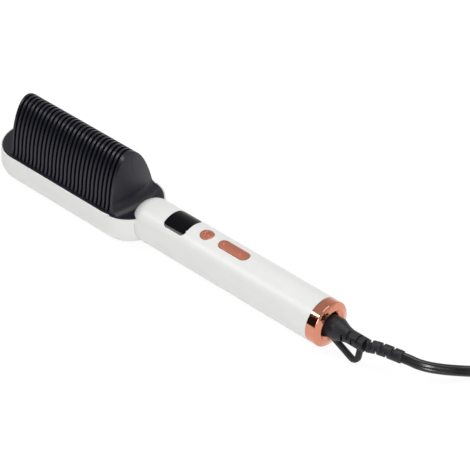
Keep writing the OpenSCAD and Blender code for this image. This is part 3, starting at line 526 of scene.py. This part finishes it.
def heading(turn):
    """Level direction at that turn from +X."""
    return np.array([math.cos(turn), math.sin(turn), 0])


route = [np.array([NECK_END + x, y, COIL_Z + (AXIS_Z - COIL_Z) * h])
         for x, y, h in RELIEF_ROUTE + CORD_ROUTE]
RELIEF_LAST = len(RELIEF_ROUTE) - 1
lead_path = [curve_at(route, s) for s in np.arange(RELIEF_LAST - 0.5, len(route) - 1, LEAD_STEP)]
lead_turn = math.atan2(*(route[-1] - route[-2])[1::-1])
print("lead-out points:", len(lead_path), " it arrives at",
      round(math.degrees(lead_turn), 1), "degrees")

# %% [markdown]
# ## Coil and tail
# The coil is a flat spiral of two turns in four layers, in and out by turns, so the lead climbs
# by one layer at each return. The tail leaves the outer turn on top and runs into the plug.

# %% Coil route
COIL_POINTS = 36              # to a turn of the coil
TAIL_POINTS = 36
coil_start = lead_turn + math.pi / 2
onward = CORD_D * heading(lead_turn)
coil_middle = route[-1] + onward - COIL_OUTER_R * heading(coil_start)
coil_middle[2] = 0


def coil_at(turn):
    """Point of the coil after so many turns: it spirals in and out, and climbs at each return."""
    radius = COIL_INNER_R + COIL_STEP * abs(turn % (2 * COIL_TURNS) - COIL_TURNS)
    climb = sum(ease(2 * (turn - k * COIL_TURNS) + 0.5) for k in (1, 2, 3))
    rise = COIL_Z + COIL_STEP * climb
    return coil_middle + radius * heading(coil_start - 2 * math.pi * turn) + (0, 0, rise)


tail_arc = TAIL_R * TAIL_TURN
tail_middle = coil_middle + (COIL_OUTER_R - TAIL_R) * heading(coil_start) + onward


def tail_at(run):
    """Point of the tail: it turns in over the coil, climbs on it and goes straight into the plug."""
    turn = coil_start - TAIL_TURN * min(run / tail_arc, 1)
    rise = COIL_TOP + (PLUG_Z - COIL_TOP) * ease(run / (tail_arc + TAIL_STRAIGHT - 1))
    past = max(run - tail_arc, 0) * heading(turn - math.pi / 2)
    return tail_middle + TAIL_R * heading(turn) + past + (0, 0, rise)


coil_path = [coil_at(t) for t in np.arange(0, 4 * COIL_TURNS + 0.001, 1 / COIL_POINTS)]
tail_end = tail_arc + TAIL_STRAIGHT + PLUG_ENTRY
tail_path = [tail_at(run) for run in np.linspace(0, tail_end, TAIL_POINTS)]
cord_path = np.array(lead_path + coil_path + tail_path)
steps = np.linalg.norm(np.diff(cord_path, axis=0), axis=1)
cord_length = steps.sum() * MM
print("cord length:", round(cord_length, 3), "m in", len(cord_path), "points")

# %% [markdown]
# ## The lead's section
# The section is two circles that overlap. They meet in the groove, which every point of the
# line carries on.

# %% Cord piece
LOBE_R = 2.3
LOBE_OFFSET = 1.15
ROLL_SEEN = math.radians(-50)
ROLL_COILED = math.radians(-45)
ROLL_BLEND = 20               # points before the coil over which the roll changes


def twin_section():
    """Two round lobes side by side, with a groove between them."""
    reach = math.pi - math.acos(LOBE_OFFSET / LOBE_R)
    turn = np.linspace(-reach, reach, 15)
    right = np.stack([LOBE_OFFSET + LOBE_R * np.cos(turn), LOBE_R * np.sin(turn)], 1)
    left = -right[1:-1]
    return np.vstack([right, left])


def roll_at(i):
    """Roll of the lead at its point i."""
    blend = ease((i - len(lead_path) + ROLL_BLEND) / ROLL_BLEND)
    return ROLL_SEEN + (ROLL_COILED - ROLL_SEEN) * blend


rolls = [roll_at(i) for i in range(len(cord_path))]
cord = add_piece("twin_cord", sweep("twin_cord", cord_path, twin_section(), rolls), "cord")
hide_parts("cord", "cord_coil", "cord_tail")
print("cord faces:", len(cord.data.polygons))

# %% [markdown]
# ## Strain relief
# A rubber sleeve with slots from both sides by turns, so that it bends evenly. Through each
# slot the glossy cord inside shows. It is swept like the cord, but with a section of its own at
# each place: full round at the blocks, and drawn in to the cord over a little more than half
# way round at a slot. The faces in a slot's floor get the cord's material.

# %% Strain relief
RELIEF_R = 4.2
RELIEF_CORE_R = 2.55
RELIEF_SIDES = 90
RELIEF_EDGE = 0.3
SLOT_FIRST, SLOT_STEP, SLOT_W, SLOTS_IN_RELIEF = 3.2, 3.45, 1.4, 5
SLOT_MIDDLES = (20, -160)
SLOT_HALF = 100
RELIEF_START, RELIEF_END = 0.4, 23.2
STEM_X, STEM_R = -6, 2.6      # the sleeve's stem, inside the boot
CREASE = 0.01                 # two sections so close make a sharp step
LIP = 0.1                     # rounding at a slot's mouth
TIP_LENGTH, TIP_ROUND, TIP_LIP = 2.5, 0.6, 0.15


def relief_section(radius, slot_radius=None, middle=0):
    """Round section, drawn in to slot_radius round the middle angle, counted from the top."""
    turn = 2 * math.pi * (np.arange(RELIEF_SIDES) + 0.5) / RELIEF_SIDES
    radii = np.full(RELIEF_SIDES, float(radius))
    if slot_radius is not None:
        from_middle = np.cos(turn - math.pi / 2 - math.radians(middle))
        radii[from_middle > math.cos(math.radians(SLOT_HALF))] = slot_radius
    return np.stack([radii * np.cos(turn), radii * np.sin(turn)], 1)


def make_relief():
    soft = RELIEF_R - RELIEF_EDGE
    places = [(STEM_X, relief_section(STEM_R)), (RELIEF_START - CREASE, relief_section(STEM_R)),
              (RELIEF_START, relief_section(soft)),
              (RELIEF_START + RELIEF_EDGE, relief_section(RELIEF_R))]
    for i in range(SLOTS_IN_RELIEF):
        middle = SLOT_MIDDLES[i % 2]
        x0 = SLOT_FIRST + i * SLOT_STEP - SLOT_W / 2
        x1 = x0 + SLOT_W
        for x, slot_radius in (
                (x0 - RELIEF_EDGE, RELIEF_R), (x0 - LIP, RELIEF_R - LIP), (x0 - CREASE, soft),
                (x0 + CREASE, RELIEF_CORE_R), (x0 + SLOT_W / 2, RELIEF_CORE_R),
                (x1 - CREASE, RELIEF_CORE_R), (x1 + CREASE, soft),
                (x1 + LIP, RELIEF_R - LIP), (x1 + RELIEF_EDGE, RELIEF_R)):
            places.append((x, relief_section(RELIEF_R, slot_radius, middle)))
    places += [(RELIEF_END - TIP_LENGTH, relief_section(RELIEF_R)),
               (RELIEF_END - TIP_ROUND, relief_section(RELIEF_R)),
               (RELIEF_END - TIP_LIP, relief_section(RELIEF_R - TIP_LIP)),
               (RELIEF_END, relief_section(RELIEF_R - TIP_ROUND))]
    step = RELIEF_ROUTE[1][0]
    path = [route[0] + (x, 0, 0) if x < RELIEF_START + RELIEF_EDGE else curve_at(route, x / step)
            for x, _ in places]
    mesh = sweep("strain_relief_sleeve", path, [section for _, section in places])
    for face in mesh.polygons:
        row = min(face.vertices) // RELIEF_SIDES
        section = places[min(row, len(places) - 1)][1]
        corner = section[min(face.vertices) % RELIEF_SIDES]
        in_slot = row > 3 and np.linalg.norm(corner) < RELIEF_CORE_R + CREASE
        if len(face.vertices) == 4 and in_slot:
            face.material_index = 1
    return mesh


relief = add_piece("strain_relief_sleeve", make_relief(), "strain_relief", rubber_boot, pvc_cord)
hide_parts("strain_relief")
print("relief faces:", len(relief.data.polygons))

# %% [markdown]
# ## Boot
# The boot is one soft moulding, whose slots and loop run into the body with small radii
# everywhere. A remesh on a fine grid, followed by a smoothing, rounds every edge and every
# inner corner of the CAD solid by about a grid cell, which no bevel does as evenly. The loop's
# bars are thicker in the picture than in the CAD solid, so a fuller loop is merged in first.

# %% Boot
BOOT_CELL = 0.2
LOOP_TURN = math.radians(20)
LOOP_SLANT = math.radians(20.5)
LOOP_CORNER, LOOP_CORNER_R = (142.5, 9.5), 3.6
LOOP_BAR, LOOP_THICK = 3.9, 3.5
LOOP_ROOT, LOOP_END_R = 17.5, 3.5     # length of the slanting bar, and where the other one ends
LOOP_SQUARE = 0.6                     # 1 makes the bar's section an ellipse, 0 a box


def signed_power(value, power):
    """The value's power with the value's sign."""
    return math.copysign(abs(value) ** power, value)


def merged(name, meshes):
    """One mesh of several."""
    work = bmesh.new()
    for mesh in meshes:
        work.from_mesh(mesh)
    whole = bpy.data.meshes.new(name)
    work.to_mesh(whole)
    work.free()
    return whole


def loop_mesh():
    """The hanging loop: a flat bar bent in a plane through the boot's axis."""
    cx, cr = LOOP_CORNER
    line = []
    for turn in np.linspace(math.pi / 2 + LOOP_SLANT, 0, 12):
        line.append((cx + LOOP_CORNER_R * math.cos(turn), cr + LOOP_CORNER_R * math.sin(turn)))
    root = (line[0][0] - LOOP_ROOT * math.cos(LOOP_SLANT),
            line[0][1] - LOOP_ROOT * math.sin(LOOP_SLANT))
    line = np.array([root] + line + [(cx + LOOP_CORNER_R, LOOP_END_R)])
    down = np.array([0, -math.sin(LOOP_TURN), -math.cos(LOOP_TURN)])
    across = np.array([0, math.cos(LOOP_TURN), -math.sin(LOOP_TURN)])
    section = [(LOOP_BAR / 2 * signed_power(math.cos(t), LOOP_SQUARE),
                LOOP_THICK / 2 * signed_power(math.sin(t), LOOP_SQUARE))
               for t in np.linspace(0, 2 * math.pi, 24, endpoint=False)]
    rings = []
    for (x, r), t in zip(line, directions(line)):
        along, out = -t[1], t[0]
        rings.append([np.array([x + u * along, 0, AXIS_Z]) + (r + u * out) * down + v * across
                      for u, v in section])
    return skin("boot_loop", rings, smooth=False)


def make_boot():
    whole = merged("boot_moulding", [clean_copy("boot_body", "boot_collar"), loop_mesh()])
    piece = add_piece("boot_moulding", whole, "boot_collar")
    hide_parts("boot_collar")
    grid = piece.modifiers.new("fine_grid", "REMESH")
    grid.mode = "VOXEL"
    grid.voxel_size = BOOT_CELL * MM
    grid.use_smooth_shade = True
    soften = piece.modifiers.new("soft_edges", "SMOOTH")
    soften.factor = 0.5
    soften.iterations = 4
    return piece


boot = make_boot()
print("boot faces before the grid:", len(boot.data.polygons))

# %% [markdown]
# ## Hard parts
# Shell, comb, ring, window and long button keep the CAD's shape, with their edges rounded by
# what such a part has: little on the thin window, more on a button that a thumb slides over.

# %% Hard parts
shell = rounded("head_shell_moulding", "head_shell", 0.3)
comb = rounded("comb_deck_moulding", "comb_deck", 0.35)
ring = rounded("end_ring_plated", "end_ring", 0.35, 3)
window = rounded("display_window_pane", "display_window", 0.12)
rocker = rounded("rocker_button_cap", "rocker_button", 0.4, 3)
paint(rocker, rose_satin)
print("hard parts:", [piece.name for piece in (shell, comb, ring, window, rocker)])

# %% [markdown]
# ## Handle sleeve
# In the picture the power button is a little wider than its CAD solid, so the sleeve's hole is
# cut wider here with a boolean before the edges are rounded.

# %% Handle sleeve
BUTTON_X = middle_x("power_button")
BUTTON_R = 4.8
BUTTON_GAP = 0.15
BUTTON_PROUD = 0.4
CUTTER_DEPTH, CUTTER_Z = 12, 30


def make_sleeve():
    mesh = clean_copy("handle_sleeve_moulding", "handle_sleeve")
    piece = add_piece("handle_sleeve_moulding", mesh, "handle_sleeve")
    bpy.ops.mesh.primitive_cylinder_add(
        vertices=96, radius=(BUTTON_R + BUTTON_GAP) * MM, depth=CUTTER_DEPTH * MM,
        location=(BUTTON_X * MM, 0, CUTTER_Z * MM))
    cutter = bpy.context.object
    hole = piece.modifiers.new("wider_hole", "BOOLEAN")
    hole.operation = "DIFFERENCE"
    hole.object = cutter
    seen = piece.evaluated_get(bpy.context.evaluated_depsgraph_get())
    cut = bpy.data.meshes.new_from_object(seen)
    piece.modifiers.clear()
    piece.data = cut
    bpy.data.objects.remove(cutter)
    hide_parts("handle_sleeve")
    bevelled(piece, 0.2)
    return piece


sleeve = make_sleeve()
print("sleeve faces:", len(sleeve.data.polygons))

# %% [markdown]
# ## Power button
# The cap is a disc laid over the handle's round, with a soft edge, whose side goes down into the
# handle.

# %% Power button


def on_handle(x, y, lift=0.0):
    """Point over the handle's round, in mm, so far above the button faces."""
    return np.array([x, y, AXIS_Z + math.sqrt((HANDLE_R + BUTTON_PROUD + lift) ** 2 - y * y)])


def make_cap(edge=0.5, depth=3.2, sides=72):
    """Rows of points from the middle out, each (radius, lift), then faces between the rows."""
    rows = [(BUTTON_R * part, 0) for part in (0.3, 0.6, 0.85)]
    for turn in np.linspace(0, math.pi / 2, 6):
        rows.append((BUTTON_R - edge + edge * math.sin(turn), edge * (math.cos(turn) - 1)))
    rows.append((BUTTON_R, -depth))
    points = [on_handle(BUTTON_X, 0)]
    for r, lift in rows:
        for t in np.linspace(0, 2 * math.pi, sides, endpoint=False):
            place = on_handle(BUTTON_X + r * math.cos(t), r * math.sin(t))
            points.append(place + (0, 0, lift))
    faces = [[0, 1 + k, 1 + (k + 1) % sides] for k in range(sides)]
    for i in range(len(rows) - 1):
        a, b = 1 + i * sides, 1 + (i + 1) * sides
        faces += [[a + k, b + k, b + (k + 1) % sides, a + (k + 1) % sides]
                  for k in range(sides)]
    faces.append([1 + (len(rows) - 1) * sides + k for k in range(sides - 1, -1, -1)])
    mesh = bpy.data.meshes.new("power_button_cap")
    mesh.from_pydata((np.array(points) * MM).tolist(), [], faces)
    smooth_sides(mesh)
    return mesh


power = add_piece("power_button_cap", make_cap(), "power_button", rose_satin)
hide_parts("power_button")
print("cap faces:", len(power.data.polygons))

# %% [markdown]
# ## Signs on the buttons
# The buttons carry the usual signs, raised and polished: a broken ring with a stroke for power,
# a cross for plus and a bar for minus. Each line is a thin round bar laid along the button's
# face and sunk into it by half.

# %% Signs
SIGN_R, SIGN_SINK = 0.26, 0.04
POWER_RING_R, POWER_GAP = 2.1, 0.55   # radius in mm, and half the ring's gap in radians
POWER_STROKE = (0.6, 1.4, 2.2, 2.9)
ROCKER_X = middle_x("rocker_button")
PLUS_X, MINUS_X = ROCKER_X - 8.8, ROCKER_X + 6.0
SIGN_HALF = 1.3


def raised(lines):
    """Thin bars along lines of (x, y) in mm, laid on the button faces."""
    return [sweep("line", [on_handle(x, y, -SIGN_SINK) for x, y in line], circle(SIGN_R, 10))
            for line in lines]


power_ring = [(BUTTON_X - POWER_RING_R * math.cos(t), POWER_RING_R * math.sin(t))
              for t in np.linspace(POWER_GAP, 2 * math.pi - POWER_GAP, 40)]
power_sign = add_piece("power_sign", merged("power_sign", raised([
    power_ring, [(BUTTON_X - d, 0) for d in POWER_STROKE]])), "power_button", rose_gold)
across = np.linspace(-SIGN_HALF, SIGN_HALF, 7)
rocker_signs = add_piece("rocker_signs", merged("rocker_signs", raised([
    [(PLUS_X, y) for y in across], [(PLUS_X + y, 0) for y in across],
    [(MINUS_X, y) for y in across]])), "rocker_button", rose_gold)
for sign in (power_sign, rocker_signs):
    smooth_sides(sign.data)
print("sign faces:", len(power_sign.data.polygons), len(rocker_signs.data.polygons))

# %% [markdown]
# ## Rim bead
# Round the black deck the shell ends in a narrow polished rim, which the light draws as a white
# line. The bead's white is painted a shade brighter than the shell's, as a painted highlight.

# %% Rim bead
SHELL_BOX = [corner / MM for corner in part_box("head_shell")]
HALF_W = (SHELL_BOX[1].y - SHELL_BOX[0].y) / 2
RIM_INSET = 1.55              # from the shell's side to the middle of its rim
RIM_R = HALF_W - RIM_INSET
RIM_Z = SHELL_BOX[1].z - 0.08
RIM_START = math.radians(36)  # where the round of the neck end comes out of the handle
BEAD_R = 0.42


def rim_line():
    """Line along the middle of the rim, from the handle round the head and back to the handle."""
    nose_x, neck_x = SHELL_BOX[0].x + HALF_W, SHELL_BOX[1].x - HALF_W
    turns = np.linspace(RIM_START, math.pi / 2, 14)
    start = [(neck_x + RIM_R * math.cos(t), RIM_R * math.sin(t)) for t in turns]
    nose = [(nose_x + RIM_R * math.cos(t), RIM_R * math.sin(t))
            for t in np.linspace(math.pi / 2, 1.5 * math.pi, 41)]
    end = [(x, -y) for x, y in reversed(start)]
    return [(x, y, RIM_Z) for x, y in start + nose + end]


bead_mesh = sweep("rim_bead", rim_line(), circle(BEAD_R, 12))
# its brighter white is a painted highlight along the rim
bead = add_piece("rim_bead", bead_mesh, "head_shell", white_painted_light)
print("rim bead faces:", len(bead.data.polygons))

# %% [markdown]
# ## Ring throat
# Inside the end ring the plated metal turns down in a throat to the boot, and mirrors its black.

# %% Ring throat
RING_FACE_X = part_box("end_ring")[1].x / MM
RING_HOLE_R = 10.47
THROAT_R = 8.05
THROAT_LIP, THROAT_DEPTH, THROAT_BACK = 0.1, 1.9, 2.6     # mm behind the ring's face


def lathe(name, profile, sides=96):
    """Closed ring about the handle's axis from a closed profile of (x, radius) in mm."""
    rings = [[(x, r * math.sin(t), AXIS_Z + r * math.cos(t)) for x, r in profile]
             for t in np.linspace(0, 2 * math.pi, sides, endpoint=False)]
    return skin(name, rings, closed=True, smooth=False)


throat = add_piece("ring_throat", lathe("ring_throat", [
    (RING_FACE_X - THROAT_LIP, RING_HOLE_R), (RING_FACE_X - THROAT_DEPTH, THROAT_R),
    (RING_FACE_X - THROAT_BACK, THROAT_R), (RING_FACE_X - THROAT_BACK, RING_HOLE_R)]), "end_ring")
print("throat faces:", len(throat.data.polygons))

# %% [markdown]
# ## Display dot
# In the dark display one dot of a digit is lit. Its light is painted: the dot is white plastic, not a
# lamp. It lies in the window's face.

# %% Display dot
DOT_X, DOT_Y = (1.25, 1.65, 2.05), -5.75
DOT_R, DOT_LIFT = 0.3, 0.02
dot_line = [on_handle(x, DOT_Y, DOT_LIFT - BUTTON_PROUD) for x in DOT_X]
# white plastic as painted light for the lit dot
dot = add_piece("display_dot", sweep("display_dot", dot_line, circle(DOT_R, 12)),
                "display_window", white_painted_light)
print("dot faces:", len(dot.data.polygons))

# %% [markdown]
# ## Plug and strap
# Both keep the CAD's shape with soft edges.

# %% Plug and strap
plug = rounded("plug_moulding", "plug_body", 1.8, 4)
strap = rounded("coil_strap", "cord_tie", 0.45, 3)
print("on the cord:", strap.name, plug.name)
